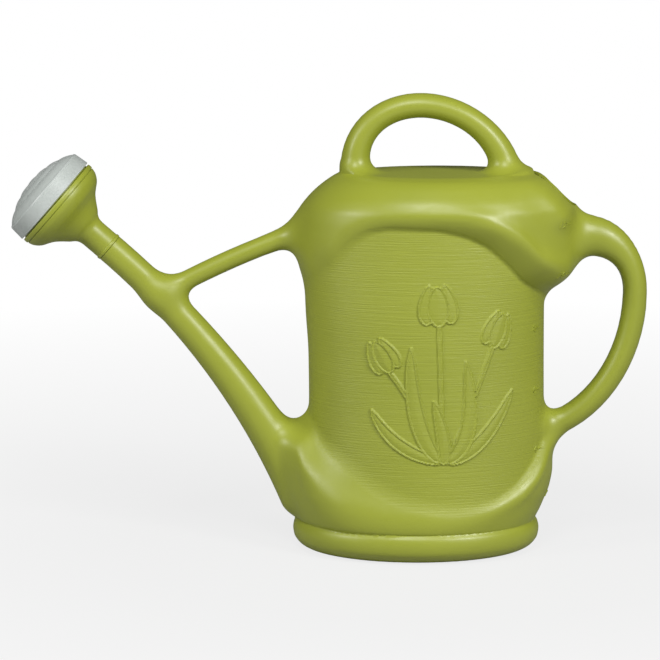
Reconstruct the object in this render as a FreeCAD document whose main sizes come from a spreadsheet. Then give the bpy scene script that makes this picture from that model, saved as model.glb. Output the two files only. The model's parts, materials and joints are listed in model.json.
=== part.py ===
"""A twelve-litre poly watering can with a pull-off sprinkler rose, in millimetres.

The can is one hollow blow moulding. It is built here as five sections that meet face to face: tank, spout,
spout brace, top handle and rear handle. The rose is two more pieces: a funnel that pushes over the spout's
tip, and a ridged spray face that slides over the funnel's rim.

+Z is up, the spout points to -X and the rear handle to +X. The origin is the middle of the foot, on the
ground. A "front" size reaches along -X and a "rear" size along +X, both from the origin. A "depth" is half
the size across Y, and a "rise" is the height from one level of the tank to the next.
"""

import FreeCAD, Part
import os
import re

SHEET = "Sizes"
SIZES = {
    # foot: a rounded ring, hollowed underneath
    "tank_wall": 2.6,
    "foot_front": 126.5,
    "foot_rear": 126.5,
    "foot_depth": 95.5,
    "foot_rise": 31.5,
    "foot_tuck": 21.0,
    "groove_depth": 3.5,
    "recess_depth": 2.0,
    "recess_margin": 10.0,
    # lobes: the swelling at each end, above the foot
    "lobe_front": 134.0,
    "lobe_rear": 140.0,
    "lobe_depth": 94.0,
    "lobe_rise": 51.5,
    # waist: the recessed band round the middle
    "waist_front": 110.0,
    "waist_rear": 129.7,
    "waist_depth": 88.0,
    "waist_fade": 72.0,
    "waist_rise": 95.0,
    # crown: the swelling at each end under the shoulder, then the brow across the middle
    "crown_front": 124.0,
    "crown_rear": 161.5,
    "crown_rise": 70.0,
    "brow_depth": 95.5,
    "brow_rise": 34.0,
    # deck: the flat top
    "deck_front": 70.0,
    "deck_rear": 112.0,
    "deck_depth": 58.0,
    "deck_rise": 34.0,
    # fill opening, through the rear shoulder
    "fill_length": 57.0,
    "fill_width": 62.0,
    "fill_tilt": 40.0,
    # spout: one long arc that climbs forwards from its root in the front lobe
    "spout_length": 318.0,
    "spout_bend": 830.0,
    "spout_climb": 63.0,
    "spout_radius": 15.0,
    "root_radius": 24.5,
    "root_inset": 16.2,
    "root_drop": 21.7,
    "tube_wall": 2.5,
    # tip: the short straight end that the rose pushes over
    "tip_length": 24.0,
    "tip_wall": 2.0,
    # brace: from the top of the spout to the crown
    "brace_drop": 71.0,
    "brace_radius": 9.8,
    "brace_flare": 2.8,
    "brace_root": 17.0,
    "brace_inset": 24.0,
    "brace_lift": 12.0,
    # top handle: a leaning arch on the deck
    "arch_centre": 14.0,
    "arch_span": 76.0,
    "arch_rise": 67.5,
    "arch_lean": 11.0,
    "arch_flare": 3.5,
    "grip_radius": 12.6,
    # rear handle: a bow from the crown down to the lobe
    "bow_reach": 92.3,
    "bow_drop": 55.0,
    "bow_elbow": 8.5,
    "bow_rise": 58.0,
    "bow_fall": 145.0,
    "bow_inset": 27.7,
    "bow_flare": 8.4,
    # rose funnel
    "push_clearance": 0.15,
    "seat_gap": 0.3,
    "neck_radius": 14.8,
    "neck_wall": 1.6,
    "neck_length": 25.5,
    "bead_height": 0.8,
    "bead_width": 3.0,
    "bell_length": 40.5,
    "bell_radius": 49.6,
    "bell_wall": 2.2,
    "rim_height": 0.8,
    "rim_width": 5.0,
    "spigot_step": 2.4,
    "spigot_length": 14.0,
    "spigot_wall": 1.8,
    # spray face
    "face_clearance": 0.3,
    "skirt_gap": 1.6,
    "skirt_wall": 3.4,
    "skirt_length": 15.4,
    "skirt_taper": 1.5,
    "face_crown": 15.5,
    "face_wall": 2.2,
    "ridge_pitch": 13.5,
    "ridge_radius": 3.5,
    "ridge_height": 0.9,
    "spray_radius": 0.9,
}

# The tank's levels, each standing on the one below
LOBE = "(foot_rise + lobe_rise)"
WAIST = f"({LOBE} + waist_fade)"
WAIST_TOP = f"({WAIST} + waist_rise)"
CROWN = f"({WAIST_TOP} + crown_rise)"
BROW = f"({CROWN} + brow_rise)"
DECK = f"({BROW} + deck_rise)"

PAST = 15  # how far a cutting shape runs past what it cuts

doc = FreeCAD.newDocument("WateringCan")


def make_sheet():
    """Column A holds each size's name, and column B its number, with the name as the cell's alias."""
    sheet = doc.addObject("Spreadsheet::Sheet", SHEET)
    for row, (name, value) in enumerate(SIZES.items(), start=1):
        sheet.set(f"A{row}", name)
        sheet.set(f"B{row}", str(value))
        sheet.setAlias(f"B{row}", name)
    doc.recompute()


def from_sheet(formula):
    """A formula with each size's name written as its cell in the sheet."""
    return re.sub(r"\b[a-z]+(?:_[a-z]+)+\b", lambda name: f"{SHEET}.{name.group()}", str(formula))


def add(kind, name, **bindings):
    """A Part object whose properties are bound to formulas."""
    item = doc.addObject(f"Part::{kind}", name)
    for path, formula in bindings.items():
        item.setExpression(path, from_sheet(formula))
    return item


def between(low, high, share):
    return f"({low} + ({high} - {low}) * {share})"


def place(x, y, z, turn="0 deg", spin="0 deg"):
    """A placement's formula: a spin about Z, a turn about Y that swings +Z towards +X, then a shift."""
    turns = f"rotation(vector(0; 1; 0); {turn}) * rotation(vector(0; 0; 1); {spin})"
    return f"placement(vector({x}; {y}; {z}); {turns})"


def loft(name, rings):
    item = doc.addObject("Part::Loft", name)
    item.Sections, item.Solid, item.Ruled = rings, True, False
    return item


def fuse(name, *pieces):
    item = doc.addObject("Part::MultiFuse", name)
    item.Shapes = list(pieces)
    return item


def common(name, *pieces):
    item = doc.addObject("Part::MultiCommon", name)
    item.Shapes = list(pieces)
    return item


def cut(name, base, *tools):
    """Takes one or more objects away from the base, one after another."""
    for count, tool in enumerate(tools, start=1):
        item = doc.addObject("Part::Cut", name if count == len(tools) else f"{name}_cut_{count}")
        item.Base, item.Tool = base, tool
        base = item
    return base


# Tank --------------------------------------------------------------------------------------------------

LOBE_REACHES = ("lobe_front", "lobe_rear", "waist_depth")
WAIST_REACHES = ("waist_front", "waist_rear", "waist_depth")
CROWN_REACHES = ("crown_front", "crown_rear", "waist_depth")
DECK_REACHES = ("deck_front", "deck_rear", "deck_depth")
FOOT_REACHES = ("foot_front", "foot_rear", "foot_depth")
GROOVE_REACHES = tuple(f"({reach} - groove_depth)" for reach in FOOT_REACHES)
BROW_REACHES = (
    between("crown_front", "deck_front", 0.15),
    between("crown_rear", "deck_rear", 0.08),
    "brow_depth",
)


def blend(first, second, share):
    """Front, rear and depth reaches that lie part of the way from one set to another."""
    return tuple(between(a, b, share) for a, b in zip(first, second))


def foot_stations(floor):
    """The foot's rings as (level, front, rear, depth): a flank that rounds in under the groove."""
    for rise, tuck in ((0, 1), (0.06, 0.62), (0.2, 0.3), (0.36, 0.08), (0.55, 0), (0.85, 0.1)):
        level = f"max(foot_rise * {rise}; {floor} + foot_rise * {rise} / 4)"
        yield level, *(f"({reach} - foot_tuck * {tuck})" for reach in FOOT_REACHES)
    yield "foot_rise", *GROOVE_REACHES


def body_stations(inset):
    """The tank's rings above the foot as (level, front, rear, depth); inset lowers only the shoulder."""
    lip = ("foot_front", "foot_rear", "lobe_depth")
    yield "foot_rise", *GROOVE_REACHES
    yield between("foot_rise", LOBE, 0.2), *lip
    yield between("foot_rise", LOBE, 0.55), *blend(lip, LOBE_REACHES, 0.6)
    yield LOBE, *LOBE_REACHES
    yield between(LOBE, WAIST, 0.4), *blend(LOBE_REACHES, WAIST_REACHES, 0.3)
    yield between(LOBE, WAIST, 0.72), *blend(LOBE_REACHES, WAIST_REACHES, 0.76)
    yield WAIST, *WAIST_REACHES
    yield between(WAIST, WAIST_TOP, 0.5), *WAIST_REACHES
    yield WAIST_TOP, *WAIST_REACHES
    yield between(WAIST_TOP, CROWN, 0.35), *blend(WAIST_REACHES, CROWN_REACHES, 0.45)
    yield CROWN, *CROWN_REACHES
    yield between(CROWN, BROW, 0.55), *blend(CROWN_REACHES, BROW_REACHES, 0.4)
    for rise, share in ((0, 0), (0.3, 0.16), (0.65, 0.42), (0.9, 0.74), (1, 1)):
        lowered = f"({between(BROW, DECK, rise)} - {inset} * {rise})"
        yield lowered, *blend(BROW_REACHES, DECK_REACHES, share)


def level_rings(name, stations, inset):
    """A level ellipse for each station, reaching from -front to rear, and moved inwards by inset."""
    rings = []
    for count, (level, front, rear, depth) in enumerate(stations):
        ring = add(
            "Ellipse",
            f"{name}_{count}",
            MajorRadius=f"({front} + {rear}) / 2 - {inset}",
            MinorRadius=f"{depth} - {inset}",
            Placement=place(f"({rear} - {front}) / 2", 0, level),
        )
        rings.append(ring)
    return rings


def tank_skin(name, inset, floor):
    foot = loft(f"{name}_foot", level_rings(f"{name}_foot_ring", foot_stations(floor), inset))
    body = loft(f"{name}_body", level_rings(f"{name}_ring", body_stations(inset), inset))
    return fuse(name, foot, body)


def fill_cutter():
    """An oval prism square to the rear shoulder."""
    x = between("crown_rear", "deck_rear", 0.51)
    z = between(BROW, DECK, 0.47)
    rings = []
    for name, offset in (("fill_inside", -PAST), ("fill_outside", 2 * PAST)):
        centre = f"{x} + {offset} * sin(fill_tilt)", 0, f"{z} + {offset} * cos(fill_tilt)"
        ring = add(
            "Ellipse",
            name,
            MajorRadius="fill_width / 2",
            MinorRadius="fill_length / 2",
            Placement=place(*centre, "fill_tilt", "90 deg"),
        )
        rings.append(ring)
    return loft("fill_cutter", rings)


def recess_cutter():
    """The shallow oval hollow under the foot."""
    reaches = [f"({reach} - foot_tuck - recess_margin)" for reach in FOOT_REACHES]
    stations = [(f"-{PAST}", *reaches), ("recess_depth", *reaches)]
    return loft("recess_cutter", level_rings("recess_ring", stations, 0))


# Tubes: spout, brace and handles -----------------------------------------------------------------------


def tube(name, path, inset=0):
    """A loft of circles along a path of (x, z, dx, dz, radius), where (dx, dz) is the way it runs.

    The spin puts the loft's seam on the tube's side, clear of the other tubes' and the tank's seams.
    """
    rings = []
    for count, (x, z, dx, dz, radius) in enumerate(path):
        circle = add(
            "Circle",
            f"{name}_ring_{count}",
            Radius=f"{radius} - {inset}",
            Placement=place(x, 0, z, f"atan2({dx}; {dz})", "90 deg"),
        )
        rings.append(circle)
    return loft(name, rings)


def hollow_tube(name, path, *joined):
    """A hollow tube that stops where it meets the solids that it is joined to."""
    return cut(name, tube(f"{name}_outside", path), tube(f"{name}_inside", path, "tube_wall"), *joined)


def spout_climb(distance):
    """How steeply the spout climbs, at a distance along it from the root."""
    return f"(spout_climb * 1 deg - {distance} / spout_bend * 1 rad)"


def spout_point(distance):
    """The spout's centre line at that distance, as (x, z)."""
    here, root = spout_climb(distance), spout_climb(0)
    x = f"(root_inset - lobe_front + spout_bend * (sin({here}) - sin({root})))"
    z = f"({LOBE} - root_drop + spout_bend * (cos({here}) - cos({root})))"
    return x, z


def spout_way(distance):
    """The direction that the spout runs in at that distance, as (dx, dz)."""
    climb = spout_climb(distance)
    return f"-cos({climb})", f"sin({climb})"


def spout_path(*shares):
    """The spout from root to tip: slender at first, and swelling faster towards its root."""
    for share in shares:
        distance = f"(spout_length * {share})"
        radius = between("spout_radius", "root_radius", round((1 - share) ** 2, 4))
        yield *spout_point(distance), *spout_way(distance), radius


def spout_bore():
    """The water's way through the spout: its bore, and a round elbow that opens into the tank."""
    elbow_share = 0.05
    bore = tube("spout_bore", spout_path(elbow_share, 0.2, 0.4, 0.6, 0.8, 1), "tube_wall")
    x, z = spout_point(f"(spout_length * {elbow_share})")
    elbow = add("Sphere", "spout_elbow", Radius="root_radius - tube_wall - 1", Placement=place(x, 0, z))
    return fuse("spout_waterway", bore, elbow)


def rose_frame(shift):
    """A placement on the spout's axis, looking out of the tip, shifted outwards from the spout's end."""
    x, z = spout_point("spout_length")
    dx, dz = spout_way("spout_length")
    return place(f"{x} + {shift} * {dx}", 0, f"{z} + {shift} * {dz}", f"atan2({dx}; {dz})")


def brace_path():
    """A straight bar from the spout to the crown, thicker at both ends."""
    x_spout, z_spout = spout_point("(spout_length - brace_drop)")
    x_crown, z_crown = "(brace_inset - crown_front)", f"({CROWN} + brace_lift)"
    way = f"({x_crown} - {x_spout})", f"({z_crown} - {z_spout})"
    ends = {0: "(brace_radius + brace_flare)", 1: "brace_root"}
    for share in (0, 0.2, 0.5, 0.75, 1):
        radius = ends.get(share, "brace_radius")
        yield between(x_spout, x_crown, share), between(z_spout, z_crown, share), *way, radius


def arch_path():
    """Half an ellipse that leans forwards, from below the deck at the rear to below it at the front."""
    for angle in (-14, 10, 34, 62, 90, 118, 146, 170, 194):
        side, up = f"cos({angle} deg)", f"sin({angle} deg)"
        x = f"(arch_centre + arch_span * {side} - arch_lean * {up})"
        z = f"({DECK} + arch_rise * {up})"
        way = f"(-arch_span * {up} - arch_lean * {side})", f"(arch_rise * {side})"
        yield x, z, *way, f"(grip_radius + arch_flare * (1 - {up})^2)"


def bow_path():
    """Two quarter ellipses that share the grip's widest reach, and a straight root into the crown."""
    reach, level = "(waist_rear + bow_reach)", f"({CROWN} - bow_drop)"
    elbow = "(crown_rear + bow_elbow)"
    for inside in (40, 14):
        yield f"({elbow} - {inside})", f"({level} + bow_rise)", "1", "0", "(grip_radius + bow_flare)"
    for angle in (80, 50, 25, 0):
        side, up = f"cos({angle} deg)", f"sin({angle} deg)"
        width = f"({reach} - {elbow})"
        way = f"({width} * {up})", f"(-bow_rise * {side})"
        flared = f"(grip_radius + bow_flare * {up}^3)"
        yield f"({elbow} + {width} * {side})", f"({level} + bow_rise * {up})", *way, flared
    for angle in (18, 38, 58, 74, 88):
        side, down = f"cos({angle} deg)", f"sin({angle} deg)"
        width = "(bow_reach + bow_inset)"
        way = f"(-{width} * {down})", f"(-bow_fall * {side})"
        yield f"({reach} - {width} * (1 - {side}))", f"({level} - bow_fall * {down})", *way, "grip_radius"


# Rose: both pieces stand on the spout's axis, with Z along it from the end of the neck -------------------

RIM_START = "(neck_length + bell_length)"
SPIGOT_START = f"({RIM_START} + rim_width)"
SKIRT_START = f"({SPIGOT_START} + skirt_gap)"
SKIRT_END = f"({SKIRT_START} + skirt_length)"
TIP_RADIUS = "(neck_radius - neck_wall - push_clearance)"
SPIGOT_RADIUS = "(bell_radius - spigot_step)"
SPIGOT_BORE = f"({SPIGOT_RADIUS} - spigot_wall)"
SKIRT_BORE = f"({SPIGOT_RADIUS} + face_clearance)"
SKIRT_RADIUS = f"({SKIRT_BORE} + skirt_wall)"
FACE_RADIUS = f"({SKIRT_RADIUS} - skirt_taper)"


def rod(name, radius, start, length, x=0, y=0):
    return add("Cylinder", name, Radius=radius, Height=length, Placement=place(x, y, start))


def tip_rod(name, radius, past):
    """A rod along the tip, that may run past both its ends."""
    start = rose_frame(f"(-{past})")
    return add("Cylinder", name, Radius=radius, Height=f"tip_length + 2 * {past}", Placement=start)


def bell(name, inset):
    """The funnel's curve from neck to rim, as shares of the bell's length and of its widening."""
    throat = ((0, 0), (0.18, 0.17), (0.38, 0.36), (0.52, 0.53))
    shoulder = ((0.64, 0.75), (0.77, 0.9), (0.9, 0.98), (1, 1))
    rings = []
    for count, (along, widening) in enumerate(throat + shoulder):
        circle = add(
            "Circle",
            f"{name}_ring_{count}",
            Radius=f"{between('neck_radius', 'bell_radius', widening)} - {inset}",
            Placement=place(0, 0, between("neck_length", RIM_START, along)),
        )
        rings.append(circle)
    return loft(name, rings)


def rose_cone():
    outside = fuse(
        "cone_outside",
        rod("neck", "neck_radius", 0, "neck_length"),
        rod("neck_bead", "neck_radius + bead_height", 0, "bead_width"),
        bell("bell_outside", 0),
        rod("rim", "bell_radius + rim_height", RIM_START, "rim_width"),
        rod("spigot", SPIGOT_RADIUS, SPIGOT_START, "spigot_length"),
    )
    inside = fuse(
        "cone_inside",
        rod("neck_bore", "neck_radius - neck_wall", -PAST, f"neck_length + {PAST}"),
        bell("bell_inside", "bell_wall"),
        rod("spigot_bore", SPIGOT_BORE, RIM_START, f"rim_width + spigot_length + {PAST}"),
    )
    return cut("rose_cone", outside, inside)


def spray_holes():
    """Rings of small holes, each ring midway between two ridges."""
    holes = []
    for ring, count in enumerate((6, 14, 24)):
        for number in range(count):
            angle = f"({number} * 360 deg / {count})"
            x, y = (f"(ridge_pitch * {ring + 0.5} * {turn}({angle}))" for turn in ("cos", "sin"))
            name = f"spray_hole_{ring}_{number}"
            length = f"face_crown + 2 * {PAST}"
            holes.append(rod(name, "spray_radius", f"{SKIRT_END} - {PAST}", length, x, y))
    return fuse("spray_holes", *holes)


def rose_face():
    """A tapered skirt under a shallow dome, with round ridges on it."""
    dome_radius = f"(({FACE_RADIUS}^2 + face_crown^2) / (2 * face_crown))"
    dome_centre = f"({SKIRT_END} + face_crown - {dome_radius})"
    ball = add("Sphere", "face_ball", Radius=dome_radius, Placement=place(0, 0, dome_centre))
    ball_inside = add(
        "Sphere",
        "face_ball_inside",
        Radius=f"{dome_radius} - face_wall",
        Placement=place(0, 0, dome_centre),
    )
    skirt = add(
        "Cone",
        "skirt",
        Radius1=SKIRT_RADIUS,
        Radius2=FACE_RADIUS,
        Height="skirt_length",
        Placement=place(0, 0, SKIRT_START),
    )
    dome = common("dome", ball, rod("dome_edge", FACE_RADIUS, SKIRT_END, "2 * face_crown"))
    ridges = [rod("ridge_middle", "ridge_radius", SKIRT_END, "face_crown + ridge_height")]
    for number in (1, 2, 3):
        radius = f"(ridge_pitch * {number})"
        crest = f"({dome_centre} + sqrt({dome_radius}^2 - {radius}^2) + ridge_height)"
        ridge = add(
            "Torus",
            f"ridge_{number}",
            Radius1=radius,
            Radius2="ridge_radius",
            Placement=place(0, 0, f"{crest} - ridge_radius"),
        )
        ridges.append(ridge)
    bore = rod("skirt_bore", SKIRT_BORE, f"{SKIRT_START} - {PAST}", f"skirt_length + 2 * {PAST}")
    hollow = common("face_hollow", ball_inside, bore)
    return cut("rose_face", fuse("face_outside", skirt, dome, *ridges), hollow, spray_holes())


# Assembly and export -----------------------------------------------------------------------------------


def build():
    """The seven sub-parts, each cut where it meets its neighbour."""
    tank_solid = tank_skin("tank_outside", 0, 0)
    tank_hollow = tank_skin("tank_inside", "tank_wall", "(recess_depth + tank_wall)")
    waterway = spout_bore()
    tank = cut("tank", tank_solid, tank_hollow, recess_cutter(), fill_cutter(), waterway)

    spout_solid = tube("spout_outside", spout_path(0, 0.15, 0.3, 0.45, 0.6, 0.8, 1))
    tip = tip_rod("tip", TIP_RADIUS, 0)
    tip_bore = tip_rod("tip_bore", f"{TIP_RADIUS} - tip_wall", 1)
    spout = cut("spout", fuse("spout_and_tip", spout_solid, tip), waterway, tip_bore, tank_solid)

    brace = hollow_tube("spout_brace", list(brace_path()), tank_solid, spout_solid)
    top_handle = hollow_tube("top_handle", list(arch_path()), tank_solid)
    rear_handle = hollow_tube("rear_handle", list(bow_path()), tank_solid)

    rose = [rose_cone(), rose_face()]
    for piece in rose:
        piece.setExpression("Placement", from_sheet(rose_frame("seat_gap")))
    return [tank, spout, brace, top_handle, rear_handle, *rose]


def check(nodes):
    """Stops the build if any object failed, or if a sub-part isn't one valid solid."""
    for item in doc.Objects:
        if "Invalid" in item.State or "Error" in item.State:
            raise RuntimeError(f"{item.Name} failed: {item.State}")
    for node in nodes:
        if node.Shape.isNull() or not node.Shape.isValid() or len(node.Shape.Solids) != 1:
            raise RuntimeError(f"{node.Label} isn't one valid solid: {len(node.Shape.Solids)} solids")


make_sheet()
sub_parts = build()
doc.recompute()
check(sub_parts)
os.makedirs("parts", exist_ok=True)
for sub_part in sub_parts:
    sub_part.Shape.exportStep(f"parts/{sub_part.Label}.step")
    print(f"{sub_part.Label}: {sub_part.Shape.Volume / 1000:.1f} cm3")
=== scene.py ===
"""The looks of a blow-moulded poly watering can with a pull-off rose. Everything is in metres.

The can's skin is one surface: a field that is negative inside the plastic is written as a formula, meshed on
a grid, and then refined where it carries fine detail. The rose's two pieces are turned on the spout's axis.
-X is the spout's side, +X the rear handle's, and both sides of the can are alike across Y.
"""

import json
import math

import bmesh
import bpy
import numpy as np
import openvdb
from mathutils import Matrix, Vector
from mathutils.bvhtree import BVHTree


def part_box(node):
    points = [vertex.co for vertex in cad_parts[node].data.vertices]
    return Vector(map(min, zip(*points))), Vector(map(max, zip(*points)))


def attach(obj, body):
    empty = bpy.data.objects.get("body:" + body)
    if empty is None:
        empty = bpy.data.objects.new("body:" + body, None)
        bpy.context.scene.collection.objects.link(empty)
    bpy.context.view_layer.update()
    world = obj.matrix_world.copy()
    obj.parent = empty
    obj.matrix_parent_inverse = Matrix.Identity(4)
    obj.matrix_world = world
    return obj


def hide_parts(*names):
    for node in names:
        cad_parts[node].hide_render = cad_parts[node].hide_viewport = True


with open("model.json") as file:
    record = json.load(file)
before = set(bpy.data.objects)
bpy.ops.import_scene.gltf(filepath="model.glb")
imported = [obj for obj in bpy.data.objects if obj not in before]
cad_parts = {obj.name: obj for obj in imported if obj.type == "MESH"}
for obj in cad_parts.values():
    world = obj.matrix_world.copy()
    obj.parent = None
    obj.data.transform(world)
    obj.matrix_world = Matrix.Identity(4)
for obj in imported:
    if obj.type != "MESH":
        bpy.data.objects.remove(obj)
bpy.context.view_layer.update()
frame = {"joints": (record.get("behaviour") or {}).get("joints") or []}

MM = 0.001
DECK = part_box("tank")[1].z  # the flat top's level
WALL = 2.6 * MM
VOXEL = 3.0 * MM  # the grid that the skin is first meshed on

# Front reach (-X), rear reach (+X) and half depth (Y) at each level, all in millimetres.
FOOT = (
    (0, 106, 106, 74),
    (2.5, 114, 114, 82),
    (7, 121, 121, 89),
    (14, 125.5, 125.5, 94),
    (21, 126.5, 126.5, 95),
    (27, 125.3, 125.3, 94),
    (31.5, 122.5, 122.5, 91.3),
)
BULGE = (
    (31.5, 122.5, 122.5, 91.3),
    (34, 124.5, 123.5, 92.8),
    (42, 128, 127.5, 94.4),
    (54, 131.5, 132.5, 95.2),
    (66, 133.5, 137, 95.4),
    (85, 134, 140, 95.4),
    (112, 131, 140, 95),
    (160, 126, 140, 95),
    (230, 121, 150, 95),
    (285, 122, 160, 95),
    (320, 124, 161.5, 95.4),
    (340, 121.5, 161, 95.4),
    (353, 117, 158, 95.2),
    (364, 109.5, 150.5, 91.5),
    (375, 98, 140.5, 83),
    (384, 84, 128, 72),
    (388, 70, 112, 58),
)
PANEL = (
    (31.5, 112, 128, 89.5),
    (65, 112, 130, 88.5),
    (150, 110, 130.3, 87.5),
    (200, 110.5, 129.8, 87),
    (250, 113.5, 129.5, 87),
    (300, 115, 131, 86.5),
    (388, 116, 131, 86),
)
# The recessed panel's upper and lower edges, round half the can: distance from the middle of the side
# (rearwards is positive), level of the panel's rim, level of the swelling's crest beyond it, how much of the
# rise between them is rounded at the rim and at the crest, and how far the crest stands over the swelling.
ROUND = 105  # turns the angle round the can into a distance
UPPER_EDGE = (
    (-165, 260, 312, 0.5, 0.5, 0),
    (-122, 267, 311, 0.5, 0.5, 0),
    (-94, 289, 323, 0.45, 0.5, 0),
    (-76, 309, 341, 0.4, 0.5, 0),
    (-63, 323, 348, 0.35, 0.55, 0),
    (-49, 333, 353, 0.25, 0.65, 0),
    (-29, 337.5, 355, 0.2, 0.7, 0),
    (4, 337, 356, 0.12, 0.75, 0),
    (25, 333, 353, 0.1, 0.75, 0.1),
    (50, 322, 342, 0.1, 0.8, 0.25),
    (71, 304, 326, 0.1, 0.8, 0.3),
    (96, 281.5, 302, 0.12, 0.8, 0.25),
    (124, 268, 293, 0.2, 0.7, 0.1),
    (165, 251, 299, 0.5, 0.5, 0),
)
LOWER_EDGE = (
    (-165, 151, 107, 0.5, 0.5, 0),
    (-129, 137, 107, 0.5, 0.5, 0),
    (-110, 128, 88, 0.5, 0.4, 0.1),
    (-86, 118, 65, 0.45, 0.35, 0.16),
    (-69, 108, 54, 0.45, 0.35, 0.2),
    (-45, 91, 43, 0.45, 0.4, 0.15),
    (-12, 74, 35, 0.4, 0.5, 0),
    (24, 65, 36, 0.35, 0.5, 0),
    (42, 64, 41, 0.3, 0.5, 0),
    (59, 66, 49, 0.3, 0.45, 0.2),
    (87, 79, 63, 0.25, 0.45, 0.25),
    (106, 93, 78, 0.25, 0.45, 0.2),
    (122, 106, 92, 0.3, 0.5, 0.1),
    (140, 124, 104, 0.4, 0.5, 0),
    (165, 150, 112, 0.5, 0.5, 0),
)


# Curves and fields ------------------------------------------------------------------------------------


def smooth_through(points, at):
    """A smooth curve, with no overshoot, through rows of (position, value, ...), at many positions."""
    table = np.asarray(points, float)
    x, y = table[:, 0], table[:, 1:]
    step, rise = np.diff(x), np.diff(y, axis=0)
    slope = rise / step[:, None]
    tangent = np.zeros_like(y)
    same_way = slope[:-1] * slope[1:] > 0
    mean = 2 * slope[:-1] * slope[1:] / np.where(same_way, slope[:-1] + slope[1:], 1)
    tangent[1:-1] = np.where(same_way, mean, 0)
    tangent[0], tangent[-1] = slope[0], slope[-1]
    at = np.clip(at, x[0], x[-1])
    cell = np.clip(np.searchsorted(x, at, side="right") - 1, 0, len(step) - 1)
    t = ((at - x[cell]) / step[cell])[:, None]
    h = step[cell][:, None]
    return (
        (2 * t**3 - 3 * t**2 + 1) * y[cell]
        + (t**3 - 2 * t**2 + t) * h * tangent[cell]
        + (-2 * t**3 + 3 * t**2) * y[cell + 1]
        + (t**3 - t**2) * h * tangent[cell + 1]
    )


def ease(t):
    t = np.clip(t, 0, 1)
    return t * t * (3 - 2 * t)


def blend_min(a, b, radius):
    """The union of two fields, with a fillet of about that radius where they meet."""
    h = np.maximum(radius - np.abs(a - b), 0) / radius
    return np.minimum(a, b) - h * h * radius / 4


def oval_field(x, y, reaches):
    """How far each point lies outside the level oval with its (front, rear, depth) reaches."""
    front, rear, depth = reaches.T * MM
    across = (x - (rear - front) / 2) / ((front + rear) / 2)
    norm = np.maximum(np.hypot(across, y / depth), 1e-6)
    return np.hypot(x - (rear - front) / 2, y) * (1 - 1 / norm)


def ramp(t, foot, crest):
    """Rises from 0 at t = 0 to 1 at t = 1: a straight slope that is rounded over those shares of its run."""
    slope = 1 / (1 - foot / 2 - crest / 2)
    rise = np.where(t < foot, slope * t * t / (2 * foot), slope * (t - foot / 2))
    rise = np.where(t > 1 - crest, 1 - slope * (1 - t) ** 2 / (2 * crest), rise)
    return np.where(t <= 0, 0, np.where(t >= 1, 1, rise))


def outside_panel(x, y, z):
    """0 inside the recessed panel, 1 on the swellings outside it, and a rounded rise between."""
    around = (math.pi / 2 - np.arctan2(np.abs(y) / 0.088, (x - 0.008) / 0.122)) * ROUND
    shares = []
    for edge in (UPPER_EDGE, LOWER_EDGE):
        rim, crest, rim_round, crest_round, over = smooth_through(edge, around).T
        rise = (z / MM - rim) / (crest - rim)
        shares.append(ramp(rise, rim_round, crest_round) + over * np.exp(-(((rise - 1.2) / 0.5) ** 2)))
    return np.maximum(*shares)


def tank_field(p):
    """The tank and its foot, without spout, brace or handles."""
    x, y, z = p.T
    level = z / MM
    bulge = oval_field(x, y, smooth_through(BULGE, level))
    panel = oval_field(x, y, smooth_through(PANEL, level))
    share = outside_panel(x, y, z)
    body = bulge * share + panel * (1 - share)
    foot = oval_field(x, y, smooth_through(FOOT, level))
    side = np.where(level < FOOT[-1][0], foot, body)
    return -blend_min(-np.maximum(side, -z), DECK - z, 3 * MM)


def tube_field(p, path):
    """A tube along a path of (x, z, half thickness, half depth) in the plane of symmetry, in millimetres."""
    path = np.asarray(path) * MM
    far = np.full(len(p), 1.0)
    margin = path[:, 2:].max() + 40 * MM
    low, high = path[:, :2].min(0) - margin, path[:, :2].max(0) + margin
    near = np.flatnonzero(
        (p[:, 0] > low[0]) & (p[:, 0] < high[0]) & (p[:, 2] > low[1]) & (p[:, 2] < high[1]) & (np.abs(p[:, 1]) < margin)
    )
    if len(near) == 0:
        return far
    x, y, z = p[near].T
    best = np.full(len(near), 1.0)
    for start, end in zip(path[:-1], path[1:]):
        dx, dz = end[:2] - start[:2]
        t = np.clip(((x - start[0]) * dx + (z - start[1]) * dz) / (dx * dx + dz * dz), 0, 1)
        thickness = start[2] + t * (end[2] - start[2])
        depth = start[3] + t * (end[3] - start[3])
        away = (x - start[0] - t * dx) ** 2 + (z - start[1] - t * dz) ** 2
        best = np.minimum(best, np.sqrt(away + (y * thickness / depth) ** 2) - thickness)
    far[near] = best
    return far


# The tubes' centre lines, in the plane of symmetry ------------------------------------------------------

AXIS = Vector(frame["joints"][0]["axis"]).normalized()  # the spout's way out of its tip
TIP_CLIMB = math.atan2(AXIS.z, -AXIS.x)
SPOUT_BEND = 830.0
SPOUT_LENGTH = 318.0
SEAM = Vector((-312.28, 0, 310.44))  # where the rose's neck meets the spout, in millimetres


def spout_path():
    """One long arc, from the seam with the rose back down to the root inside the front lobe."""
    path = []
    for distance in np.linspace(-24, SPOUT_LENGTH + 6, 22):
        climb = TIP_CLIMB + distance / SPOUT_BEND
        x = SEAM.x + SPOUT_BEND * (math.sin(climb) - math.sin(TIP_CLIMB))
        z = SEAM.z + SPOUT_BEND * (math.cos(climb) - math.cos(TIP_CLIMB))
        radius = 15.0 + 10.5 * (distance / SPOUT_LENGTH) ** 2
        path.append((x, z, radius, radius))
    return path


def brace_path():
    """A slightly bowed bar from the spout to the crown."""
    start, end, bow = np.array((-262, 263)), np.array((-98, 334)), 4.0
    path = []
    for t in np.linspace(0, 1, 12):
        x, z = start + (end - start) * t
        lift = bow * math.sin(math.pi * t)
        radius = 9.7 + 7.5 * max(0, (t - 0.62) / 0.38) ** 2
        path.append((x - lift * 0.4, z + lift * 0.9, radius, radius * 1.05))
    return path


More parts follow.
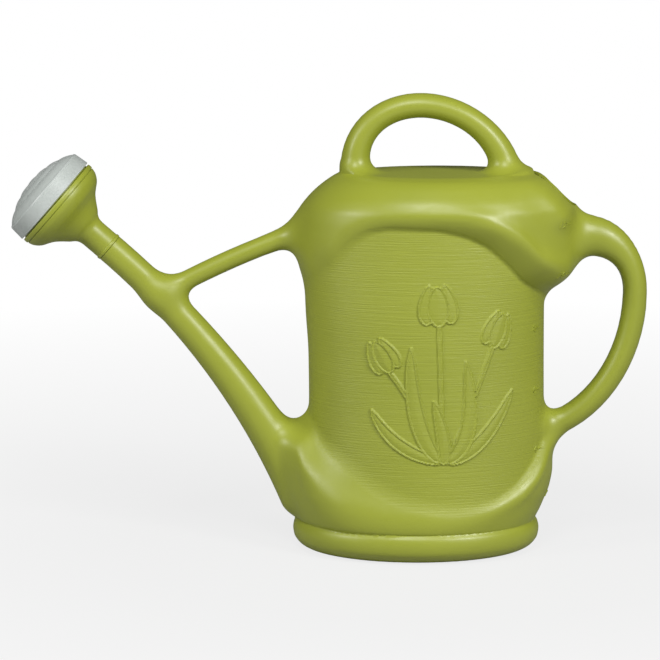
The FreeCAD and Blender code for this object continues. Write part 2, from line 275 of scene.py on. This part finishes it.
def arch_path():
    """The top handle: half an ellipse that leans forwards."""
    path = []
    for angle in np.linspace(math.radians(-16), math.radians(196), 36):
        side, up = math.cos(angle), math.sin(angle)
        flare = 3.2 * (1 - up) ** 2
        x = 14 + 76 * side - 11 * up
        path.append((x, DECK / MM + 67.4 * up, 12.5 + flare, 14.2 + flare))
    return path


def bow_path():
    """The rear handle: a short upper quarter ellipse and a long lower one, at one widest reach."""
    reach, level, elbow = 222.0, 265.0, 170.0
    path = [(128, 323.3, 21, 17.5), (146, 323.4, 21, 17), (160, 323.4, 21, 16.5)]
    for angle in np.linspace(math.radians(84), 0, 14):
        side, up = math.cos(angle), math.sin(angle)
        flare = 8.4 * up**3
        path.append((elbow + 52 * side, level + 58.4 * up**0.93, 12.2 + flare, 13.8 + flare * 0.35))
    for angle in np.linspace(math.radians(6), math.radians(88), 18):
        path.append((reach - 120 * (1 - math.cos(angle)), level - 145 * math.sin(angle), 12.4, 13.8))
    return path


def lip_path():
    """The rounded shoulder that carries the fill opening's rim."""
    return [(103, 375, 12, 42), (112, 376.5, 12, 44), (125, 370.5, 12, 46), (135, 360.5, 12, 46), (142, 349, 12, 44)]


SPOUT, BRACE, ARCH, BOW, LIP = spout_path(), brace_path(), arch_path(), bow_path(), lip_path()


def vessel_field(p):
    """The part of the can that holds water: tank and spout, with a large fillet above the spout only."""
    middle = (SPOUT[-1][0] + SPOUT[-5][0]) / 2 * MM, (SPOUT[-1][1] + SPOUT[-5][1]) / 2 * MM
    way = Vector((SPOUT[-1][0] - SPOUT[-5][0], SPOUT[-1][1] - SPOUT[-5][1])).normalized()
    above = -(p[:, 0] - middle[0]) * way.y + (p[:, 2] - middle[1]) * way.x
    fillet = (6 + 28 * ease(0.5 + above / 0.04)) * MM
    tank = blend_min(tank_field(p), tube_field(p, LIP), 14 * MM)
    return blend_min(tank, tube_field(p, SPOUT), fillet)


def can_field(p):
    """The whole can's outside."""
    brace = tube_field(p, BRACE)
    body = blend_min(vessel_field(p), brace, 20 * MM)
    body = blend_min(body, tube_field(p, ARCH), 17 * MM)
    return blend_min(body, tube_field(p, BOW), 22 * MM)


def hollow_field(p):
    """The space inside the tank and the spout."""
    return vessel_field(p) + WALL


def in_chunks(field, p, size=150000):
    return np.concatenate([field(p[i : i + size]) for i in range(0, len(p), size)])


def mesh_field(field, low, high, voxel):
    """Points and quads of a field's surface, which is evaluated finely only where it passes near."""
    coarse = 4
    counts = np.ceil((high - low) / (voxel * coarse)).astype(int)
    axes = [low[i] + np.arange(counts[i] + 1) * voxel * coarse for i in range(3)]
    rough_points = np.stack(np.meshgrid(*axes, indexing="ij"), -1).reshape(-1, 3)
    rough = in_chunks(field, rough_points).reshape(counts + 1)
    reach = voxel * coarse * 1.6
    fine = np.repeat(np.repeat(np.repeat(rough, coarse, 0), coarse, 1), coarse, 2)
    index = np.argwhere(np.abs(fine) < reach)
    fine = np.sign(fine) * reach
    offset = (coarse - 1) / 2
    points = low + (index - offset) * voxel
    fine[tuple(index.T)] = np.clip(in_chunks(field, points), -reach, reach)
    grid = openvdb.FloatGrid(reach)
    grid.copyFromArray(fine.astype(np.float32))
    vertices, quads = grid.convertToQuads(isovalue=0.0)
    return low + (vertices - offset) * voxel, quads


def settle(field, p, rounds=3, step=0.25 * MM):
    """Moves points onto the field's surface, along its slope."""
    for _ in range(rounds):
        value = in_chunks(field, p)
        slope = np.stack([in_chunks(field, p + shift) - value for shift in np.eye(3) * step], -1) / step
        size = np.maximum((slope**2).sum(1), 0.05)
        p = p - slope * np.clip(value / size, -VOXEL, VOXEL)[:, None]
    return p



# Meshes ------------------------------------------------------------------------------------------------


def new_object(name, vertices, faces, material, body="can"):
    mesh = bpy.data.meshes.new(name)
    mesh.from_pydata([tuple(v) for v in vertices], [], [tuple(f) for f in faces])
    mesh.validate()
    piece = bpy.data.objects.new(name, mesh)
    bpy.context.scene.collection.objects.link(piece)
    mesh.shade_smooth()
    mesh.materials.append(material)
    if body:
        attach(piece, body)
    return piece


def points_of(mesh):
    flat = np.empty(len(mesh.vertices) * 3)
    mesh.vertices.foreach_get("co", flat)
    return flat.reshape(-1, 3)


def set_points(mesh, points):
    mesh.vertices.foreach_set("co", points.ravel())
    mesh.update()


def apply_modifiers(piece):
    """Makes what the modifiers show the piece's own mesh."""
    bpy.context.view_layer.update()
    shown = piece.evaluated_get(bpy.context.evaluated_depsgraph_get())
    mesh = bpy.data.meshes.new_from_object(shown)
    piece.modifiers.clear()
    piece.data = mesh


def subtract(piece, cutter):
    """Cuts the cutter out of the piece, and removes the cutter."""
    cut = piece.modifiers.new("cut", "BOOLEAN")
    cut.operation, cut.solver, cut.object = "DIFFERENCE", "MANIFOLD", cutter
    apply_modifiers(piece)
    bpy.data.objects.remove(cutter)


def refine(mesh, wanted):
    """Splits every face whose middle is wanted into four."""
    centres = np.empty(len(mesh.polygons) * 3)
    mesh.polygons.foreach_get("center", centres)
    chosen = np.flatnonzero(wanted(centres.reshape(-1, 3)))
    bm = bmesh.new()
    bm.from_mesh(mesh)
    bm.faces.ensure_lookup_table()
    edges = {edge for i in chosen for edge in bm.faces[i].edges}
    bmesh.ops.subdivide_edges(bm, edges=list(edges), cuts=1, use_grid_fill=True)
    bm.to_mesh(mesh)
    bm.free()


def fill_cutter():
    """An oval prism square to the rear shoulder."""
    centre, tilt = Vector((136.3, 0, 370)) * MM, math.radians(40)
    half_length, half_width, count = 28.5 * MM, 34 * MM, 96
    out, along = Vector((math.sin(tilt), 0, math.cos(tilt))), Vector((math.cos(tilt), 0, -math.sin(tilt)))
    rings = []
    for offset in (-15 * MM, 40 * MM):
        for i in range(count):
            turn = 2 * math.pi * i / count
            side = Vector((0, half_width * math.sin(turn), 0))
            rings.append(centre + out * offset + along * half_length * math.cos(turn) + side)
    faces = [(i, (i + 1) % count, count + (i + 1) % count, count + i) for i in range(count)]
    faces += [tuple(reversed(range(count))), tuple(range(count, 2 * count))]
    return rings, faces


def seam_cutter():
    """A block with one face on the seam between the spout and the rose."""
    half, length = 30 * MM, 60 * MM
    corners = [(x, y, z) for z in (0, length) for y in (-half, half) for x in (-half, half)]
    faces = [(0, 2, 3, 1), (4, 5, 7, 6), (0, 1, 5, 4), (2, 6, 7, 3), (0, 4, 6, 2), (1, 3, 7, 5)]
    return [on_axis(*corner) for corner in corners], faces


def on_axis(x, y, along):
    """A point beside the spout's axis, that far along it from the seam."""
    side = Vector((AXIS.z, 0, -AXIS.x))
    return SEAM * MM + side * x + Vector((0, 1, 0)) * y + AXIS * along


def lathe(name, profile, material, body, segments=128):
    """A closed profile of (radius, distance from the seam), in millimetres, turned on the spout's axis."""
    vertices, faces, count = [], [], len(profile)
    for i in range(segments):
        turn = 2 * math.pi * i / segments
        for radius, along in profile:
            r = radius * MM
            vertices.append(on_axis(r * math.cos(turn), r * math.sin(turn), along * MM))
        for j in range(count):
            k, m = i * count, (i + 1) % segments * count
            faces.append((k + j, k + (j + 1) % count, m + (j + 1) % count, m + j))
    piece = new_object(name, vertices, faces, material, body)
    sharpen(piece)
    return piece


def sharpen(piece, degrees=32):
    piece.data.shade_smooth()
    piece.data.set_sharp_from_angle(angle=math.radians(degrees))


# The raised picture: tulips and leaves, drawn flat as (distance round the can, level) --------------------


def bend(points, count=14):
    """A smooth line through three points, as points along it."""
    start, middle, end = (np.array(point, float) for point in points)
    handle = 2 * middle - (start + end) / 2
    t = np.linspace(0, 1, count)[:, None]
    return start * (1 - t) ** 2 + handle * 2 * t * (1 - t) + end * t**2


def blade(points, width, blunt=0.5):
    """A leaf or petal: a bent middle line, and its half width along it."""
    line = bend(points)
    share = np.linspace(0, 1, len(line))
    return line, width * np.maximum(np.sin(math.pi * share**0.8), 0) ** blunt + 0.2


def stem(points, width=1.3):
    line = bend(points)
    return line, np.full(len(line), width)


def tulip(x, level, lean, size):
    """Three petals that stand on a stem's end, which leans by so many degrees."""
    turn = math.radians(lean)
    petals = []
    for side in (-1, 1, 0):
        shape = ((side, -0.9), (side * 0.95, -0.05), (side * 0.62, 1.05)) if side else ((0, -1), (0, 0), (0, 0.9))
        points = []
        for across, up in shape:
            across, up = across * size * 0.55, up * size
            points.append((x + across * math.cos(turn) + up * math.sin(turn), level - across * math.sin(turn) + up * math.cos(turn)))
        petals.append(blade(points, size * (0.34 if side else 0.46), 0.6))
    return petals


PICTURE = [
    blade(((14, 106), (-24, 124), (-50, 158)), 5.5),
    blade(((18, 106), (50, 128), (82, 176)), 6),
    stem(((10, 106), (-10, 158), (-34, 198))),
    *tulip(-40, 213, -26, 16),
    stem(((18, 106), (42, 172), (60, 222))),
    *tulip(66, 238, 20, 17),
    stem(((14, 106), (12, 180), (10, 246))),
    *tulip(9, 265, -3, 19),
    blade(((12, 106), (-8, 150), (-14, 222)), 6.5),
    blade(((16, 106), (36, 140), (34, 208)), 6.5),
    blade(((14, 105), (14, 130), (6, 168)), 5),
]
RIDGE = 1.5  # half width of the ridge round each shape, in millimetres


def picture_height(around, level):
    """How high the picture stands there: every shape is puffed up, inside a ridge along its outline."""
    height = np.zeros(len(around))
    edge = np.full(len(around), 99.0)
    for line, widths in PICTURE:
        best, width_there = np.full(len(around), 99.0), np.zeros(len(around))
        for start, end, w0, w1 in zip(line[:-1], line[1:], widths[:-1], widths[1:]):
            du, dv = end - start
            t = np.clip(((around - start[0]) * du + (level - start[1]) * dv) / (du * du + dv * dv), 0, 1)
            distance = np.hypot(around - start[0] - t * du, level - start[1] - t * dv) - (w0 + t * (w1 - w0))
            closer = distance < best
            best = np.where(closer, distance, best)
            width_there = np.where(closer, w0 + t * (w1 - w0), width_there)
        puff = 0.75 * np.clip(-best / np.maximum(width_there, 1), 0, 1) ** 0.6
        ridge = np.clip(1 - (best / RIDGE) ** 2, 0, 1)
        height = np.where(best < RIDGE * 0.6, np.maximum(puff, ridge), np.maximum(height, ridge))
        edge = np.minimum(edge, np.abs(best))
    return height * 1.8, edge


def picture_place(p):
    """Where points of the tank's side lie in the picture, and which of them may carry it."""
    around = (math.pi / 2 - np.arctan2(np.abs(p[:, 1]) / 0.088, (p[:, 0] - 0.008) / 0.122)) * ROUND
    level = p[:, 2] / MM
    inside = (around > -66) & (around < 96) & (level > 98) & (level < 292) & (np.abs(p[:, 1]) > 0.04)
    return around, level, inside


def relief_field(p):
    """The can's outside with the picture raised on both its sides."""
    around, level, inside = picture_place(p)
    height = np.zeros(len(p))
    if inside.any():
        height[inside] = picture_height(around[inside], level[inside])[0] * MM
    return can_field(p) - height


# Materials ---------------------------------------------------------------------------------------------


class Nodes:
    """A short way to write a material's nodes."""

    def __init__(self, name):
        self.material = bpy.data.materials.new(name)
        self.material.use_nodes = True
        self.tree = self.material.node_tree
        self.shader = self.tree.nodes["Principled BSDF"]

    def add(self, kind, settings=None, **inputs):
        node = self.tree.nodes.new("ShaderNode" + kind)
        for key, value in (settings or {}).items():
            setattr(node, key, value)
        for key, value in inputs.items():
            self.link(value, node.inputs[key.replace("_", " ")])
        return node

    def link(self, value, socket):
        if isinstance(value, bpy.types.NodeSocket):
            self.tree.links.new(value, socket)
        else:
            socket.default_value = value

    def math(self, operation, first, second=0.0):
        node = self.tree.nodes.new("ShaderNodeMath")
        node.operation = operation
        self.link(first, node.inputs[0])
        self.link(second, node.inputs[1])
        return node.outputs[0]


def green_poly():
    """Satin polyethylene: a faint grain all over, and fine brushed lines in the recessed panel."""
    m = Nodes("green_poly")
    place = m.add("TexCoord").outputs["Object"]
    tint = m.add("TexNoise", Vector=place, Scale=7.0, Detail=3.0).outputs["Fac"]
    colours = m.add("ValToRGB", Fac=tint)
    colours.color_ramp.elements[0].position, colours.color_ramp.elements[0].color = 0.3, (0.305, 0.345, 0.03, 1)
    colours.color_ramp.elements[1].position, colours.color_ramp.elements[1].color = 0.7, (0.34, 0.38, 0.036, 1)
    m.link(colours.outputs["Color"], m.shader.inputs["Base Color"])
    panel = m.add("Attribute", {"attribute_name": "panel"}).outputs["Fac"]
    rough = m.add("TexNoise", Vector=place, Scale=160.0, Detail=4.0).outputs["Fac"]
    rough = m.math("MULTIPLY_ADD", rough, 0.14)
    rough.node.inputs[2].default_value = 0.33
    m.link(m.math("ADD", rough, m.math("MULTIPLY", panel, 0.07)), m.shader.inputs["Roughness"])
    grain = m.add("TexNoise", Vector=place, Scale=1500.0, Detail=2.0).outputs["Fac"]
    stretched = m.add("Mapping", Vector=place)
    stretched.inputs["Scale"].default_value = (14, 14, 760)
    wander = m.add("TexNoise", Vector=place, Scale=9.0, Detail=1.0).outputs["Fac"]
    shifted = m.add("VectorMath", {"operation": "MULTIPLY_ADD"}, Vector=stretched.outputs[0])
    shifted.inputs[1].default_value = (1, 1, 1)
    lifted = m.add("CombineXYZ", Z=m.math("MULTIPLY", wander, 2.4)).outputs[0]
    m.link(lifted, shifted.inputs[2])
    lines = m.add("TexNoise", Vector=shifted.outputs[0], Scale=1.0, Detail=5.0, Roughness=0.65).outputs["Fac"]
    brushed = m.math("MULTIPLY", lines, panel)
    fine = m.add("Bump", Height=grain, Strength=0.05, Distance=0.0003)
    deep = m.add("Bump", Height=brushed, Strength=0.7, Distance=0.0009, Normal=fine.outputs[0])
    m.link(deep.outputs[0], m.shader.inputs["Normal"])
    m.shader.inputs["Specular IOR Level"].default_value = 0.65
    return m.material


def pale_poly():
    """Pale polyethylene that lets a little light through."""
    m = Nodes("pale_poly")
    place = m.add("TexCoord").outputs["Object"]
    tint = m.add("TexNoise", Vector=place, Scale=22.0, Detail=3.0).outputs["Fac"]
    colours = m.add("ValToRGB", Fac=tint)
    colours.color_ramp.elements[0].position, colours.color_ramp.elements[0].color = 0.3, (0.47, 0.51, 0.48, 1)
    colours.color_ramp.elements[1].position, colours.color_ramp.elements[1].color = 0.7, (0.53, 0.565, 0.54, 1)
    m.link(colours.outputs["Color"], m.shader.inputs["Base Color"])
    m.shader.inputs["Roughness"].default_value = 0.38
    m.shader.inputs["Subsurface Weight"].default_value = 0.25
    m.shader.inputs["Subsurface Radius"].default_value = (0.004, 0.004, 0.004)
    grain = m.add("TexNoise", Vector=place, Scale=1300.0, Detail=2.0).outputs["Fac"]
    fine = m.add("Bump", Height=grain, Strength=0.06, Distance=0.0003)
    m.link(fine.outputs[0], m.shader.inputs["Normal"])
    return m.material


# The can -----------------------------------------------------------------------------------------------


def near_folds(p):
    """The groove over the foot, and the upper edge of the panel."""
    around = (math.pi / 2 - np.arctan2(np.abs(p[:, 1]) / 0.088, (p[:, 0] - 0.008) / 0.122)) * ROUND
    rim = smooth_through(UPPER_EDGE, around)[:, 0]
    level = p[:, 2] / MM
    beside = (np.abs(p[:, 1]) > 0.03) & (around > -60) & (np.abs(level - rim - 2) < 7)
    return (np.abs(level - 31.5) < 4.5) | beside


def near_picture(reach):
    def wanted(p):
        around, level, inside = picture_place(p)
        near = np.zeros(len(p), bool)
        near[inside] = picture_height(around[inside], level[inside])[1] < reach
        return near

    return wanted


def can_skin(material):
    low = np.array((-0.345, -0.105, -0.006))
    high = np.array((0.245, 0.105, 0.476))
    vertices, quads = mesh_field(can_field, low, high, VOXEL)
    skin = new_object("can_skin", settle(can_field, vertices, 2), quads[:, ::-1], material)
    refine(skin.data, near_folds)
    refine(skin.data, near_picture(4.5))
    refine(skin.data, near_picture(2.2))
    set_points(skin.data, settle(relief_field, points_of(skin.data), 3))
    inner, inner_quads = mesh_field(hollow_field, low, high, 2 * VOXEL)
    subtract(skin, new_object("hollow", inner, inner_quads[:, ::-1], material, body=None))
    subtract(skin, new_object("fill_cutter", *fill_cutter(), material, body=None))
    subtract(skin, new_object("seam_cutter", *seam_cutter(), material, body=None))
    sharpen(skin, 42)
    x, y, z = points_of(skin.data).T
    panel = skin.data.attributes.new("panel", "FLOAT", "POINT")
    reaches = smooth_through(PANEL, z / MM)
    on_panel = ease(2 - np.abs(oval_field(x, y, reaches)) / (2 * MM)) * (1 - np.clip(outside_panel(x, y, z), 0, 1))
    panel.data.foreach_set("value", on_panel)
    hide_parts("tank", "spout", "spout_brace", "top_handle", "rear_handle")
    return skin


def level_marks(skin, material):
    """Raised numerals and ticks beside the rear handle, on the side that faces the camera."""
    depsgraph = bpy.context.evaluated_depsgraph_get()
    tree = BVHTree.FromObject(skin, depsgraph)
    vertices, faces = [], []
    for litres, x, level in ((12, 148, 340), (10, 147, 289), (8, 118.5, 234), (6, 119, 171), (4, 121, 109), (2, 133, 59)):
        letters = bpy.data.curves.new("letters", "FONT")
        letters.body, letters.size, letters.extrude, letters.resolution_u = f"{litres}", 9.5, 0.9, 3
        letters.align_x = "RIGHT"
        shown = bpy.data.objects.new("letters", letters)
        bpy.context.scene.collection.objects.link(shown)
        bpy.context.view_layer.update()
        mesh = bpy.data.meshes.new_from_object(shown.evaluated_get(bpy.context.evaluated_depsgraph_get()))
        bpy.data.objects.remove(shown)
        flat = [tuple(v.co) for v in mesh.vertices]
        outline = [tuple(f.vertices) for f in mesh.polygons]
        tick = [(u, v, w) for w in (-0.9, 0.9) for v in (2.6, 3.9) for u in (1.5, 3.5, 5.5, 7.5)]
        start = len(flat)
        flat += tick
        for k in range(3):
            outline += [(start + k, start + 4 + k, start + 5 + k, start + 1 + k)]
            outline += [(start + 8 + k, start + 9 + k, start + 13 + k, start + 12 + k)]
            outline += [(start + k, start + 1 + k, start + 9 + k, start + 8 + k)]
            outline += [(start + 4 + k, start + 12 + k, start + 13 + k, start + 5 + k)]
        outline += [(start, start + 8, start + 12, start + 4), (start + 3, start + 7, start + 15, start + 11)]
        hit = tree.ray_cast(Vector((x * MM, -0.3, level * MM)), Vector((0, 1, 0)))[0]
        middle = math.atan2(-hit.y / 0.088, (hit.x - 0.008) / 0.122)
        start = len(vertices)
        for u, v, w in flat:
            angle = middle - (u / 92)
            far = Vector((0.008 + 0.3 * math.cos(angle), -0.216 * math.sin(angle), (level - 3 + v) * MM))
            inwards = (Vector((0.008, 0, far.z)) - far).normalized()
            hit = tree.ray_cast(far, inwards)[0]
            vertices.append(hit - inwards * w * MM)
        faces += [tuple(start + i for i in face) for face in outline]
    marks = new_object("level_marks", vertices, faces, material)
    sharpen(marks)


# The rose ----------------------------------------------------------------------------------------------

SEAT = 0.3  # the rose stands this far off the end of the spout


def spout_tip(material):
    """The step that the rose's neck pushes over."""
    lathe("spout_tip", [(14.9, -4), (14.9, -0.02), (13.05, -0.02), (13.05, 23.6), (12.7, 24), (11.05, 24), (11.05, -10), (13, -10)], material, "can", 64)


def rose_cone(material):
    neck = [(13.2, 0), (15.1, 0), (15.6, 0.5), (15.6, 2.4), (15.3, 3), (14.8, 3.4), (14.8, 14)]
    bell = [(14.8, 22), (15.4, 26), (17, 29.5), (21.3, 34), (27.6, 41.5), (32.6, 46.5), (37.2, 49.6), (42.5, 53), (46.2, 57), (48.6, 61.2), (49.6, 65)]
    curve = [tuple(point) for point in smooth_curve(bell, 48)]
    rim = [(49.5, 65.35), (49.0, 65.6), (49.0, 66), (49.9, 66.2), (50.3, 66.7), (50.4, 68.2), (50.3, 70.2), (49.9, 70.9), (49.4, 71)]
    spigot = [(47.2, 71), (47.2, 84.5), (46.8, 85), (45.8, 85), (45.4, 84.6), (45.4, 68)]
    inside = [(radius - 2.2, along + 0.6) for radius, along in reversed(curve[2:-1])] + [(13.2, 20)]
    profile = [(radius, along + SEAT) for radius, along in neck + curve + rim + spigot + inside]
    cone = lathe("rose_cone_skin", profile, material, "rose")
    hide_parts("rose_cone")


def smooth_curve(points, count):
    """More points along the same outline, evenly spread over its length."""
    points = np.array(points)
    along = np.concatenate(([0], np.cumsum(np.hypot(*np.diff(points, axis=0).T))))
    return smooth_through(np.column_stack((along, points)), np.linspace(0, along[-1], count))


def dome(radius):
    """The spray face's height over the skirt's top, without ridges."""
    ball = (49.4**2 + 15.5**2) / (2 * 15.5)
    return math.sqrt(ball**2 - radius**2) - (ball - 15.5)


def rose_face(material):
    """A tapered skirt with fine rings, and a shallow dome with round ridges and spray holes."""
    skirt_start, skirt_end, pitch = 72.6, 88.0, 13.5
    outside = [(47.5, skirt_start), (50.2, skirt_start), (50.8, skirt_start + 0.5)]
    for i in range(1, 42):
        along = skirt_start + 0.6 + i * 0.34
        groove = 0.0 if i % 3 else 0.14
        outside.append((50.85 - 1.4 * i / 42 - groove, along))
    outside += [(49.3, skirt_end - 0.35), (49.0, skirt_end + 0.1)]
    for radius in np.linspace(48.6, 0.05, 150):
        ring = round(radius / pitch) * pitch
        share = min(abs(radius - ring) / (pitch / 2), 1)
        outside.append((radius, skirt_end + dome(radius) + 0.7 * (1 - share**2)))
    inside = [(radius, skirt_end + dome(radius) - 2.2) for radius in np.linspace(0.05, 46.5, 24)]
    inside.append((47.5, skirt_end + dome(47.5) - 2.6))
    profile = [(radius, along + SEAT) for radius, along in outside + inside]
    face = lathe("rose_face_skin", profile, material, "face", 160)
    holes, hole_faces = [], []
    sides = 12
    for ring, count in enumerate((6, 14, 24)):
        for i in range(count):
            turn = 2 * math.pi * i / count
            x, y = pitch * (ring + 0.5) * math.cos(turn), pitch * (ring + 0.5) * math.sin(turn)
            start = len(holes)
            for along in (skirt_end + SEAT, skirt_end + 25):
                for j in range(sides):
                    around = 2 * math.pi * j / sides
                    holes.append(on_axis((x + 0.9 * math.cos(around)) * MM, (y + 0.9 * math.sin(around)) * MM, along * MM))
            for j in range(sides):
                k = (j + 1) % sides
                hole_faces.append((start + j, start + k, start + sides + k, start + sides + j))
            hole_faces.append(tuple(start + j for j in reversed(range(sides))))
            hole_faces.append(tuple(start + sides + j for j in range(sides)))
    subtract(face, new_object("spray_holes", holes, hole_faces, material, body=None))
    sharpen(face)
    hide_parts("rose_face")


# Light, floor and camera -------------------------------------------------------------------------------


def stage(size=60.0):
    """A white floor. Only the camera sees it glow, more with the distance, so that its shadow stays."""
    m = Nodes("pale_floor")
    m.shader.inputs["Base Color"].default_value = (0.4, 0.4, 0.4, 1)
    m.shader.inputs["Roughness"].default_value = 0.9
    glow = m.add("Emission", Color=(1, 1, 1, 1), Strength=1.0)
    where = m.add("NewGeometry").outputs["Position"]
    away = m.add("VectorMath", {"operation": "LENGTH"}, Vector=where).outputs["Value"]
    fade = m.add("MapRange", Value=away)
    fade.inputs["From Min"].default_value, fade.inputs["From Max"].default_value = 0.3, 1.6
    fade.inputs["To Min"].default_value, fade.inputs["To Max"].default_value = 0.8, 1.0
    seen = m.add("LightPath").outputs["Is Camera Ray"]
    mixed = m.add("MixShader")
    m.link(m.math("MULTIPLY", seen, fade.outputs["Result"]), mixed.inputs[0])
    m.link(m.shader.outputs[0], mixed.inputs[1])
    m.link(glow.outputs[0], mixed.inputs[2])
    m.link(mixed.outputs[0], m.tree.nodes["Material Output"].inputs["Surface"])
    corners = [(-size, -size, 0), (size, -size, 0), (size, size, 0), (-size, size, 0)]
    floor = new_object("floor", corners, [(0, 1, 2, 3)], m.material, body=None)


def area_light(name, place, target, size, power):
    lamp = bpy.data.lights.new(name, "AREA")
    lamp.shape, lamp.size, lamp.energy = "DISK", size, power
    holder = bpy.data.objects.new(name, lamp)
    holder.location = place
    holder.rotation_euler = (Vector(target) - Vector(place)).to_track_quat("-Z", "Y").to_euler()
    bpy.context.scene.collection.objects.link(holder)


def lights():
    world = bpy.data.worlds.new("studio")
    bpy.context.scene.world = world
    world.use_nodes = True
    background = world.node_tree.nodes["Background"]
    background.inputs["Color"].default_value = (1, 1, 1, 1)
    background.inputs["Strength"].default_value = 0.09
    area_light("left_softbox", (-2.4, -1.5, 1.4), (0, 0, 0.2), 0.9, 28)
    area_light("right_softbox", (1.9, -2.1, 1.9), (0, 0, 0.25), 1.0, 66)
    area_light("front_softbox", (-0.3, -2.1, 2.6), (0, 0, 0.25), 1.2, 44)


def camera():
    lens = bpy.data.cameras.new("camera")
    view = bpy.data.objects.new("camera", lens)
    bpy.context.scene.collection.objects.link(view)
    bpy.context.scene.camera = view
    lens.lens = 165.4
    lens.shift_y = -0.006
    lens.clip_end = 200
    view.location = (-0.0885, -3.05, 0.75)
    aim = Vector((-0.0885, 0, 0.2297))
    view.rotation_euler = (aim - view.location).to_track_quat("-Z", "Y").to_euler()


# Making everything -------------------------------------------------------------------------------------

bpy.context.scene.view_settings.view_transform = "Standard"
GREEN, PALE = green_poly(), pale_poly()
level_marks(can_skin(GREEN), GREEN)
spout_tip(GREEN)
rose_cone(GREEN)
rose_face(PALE)
stage()
lights()
camera()
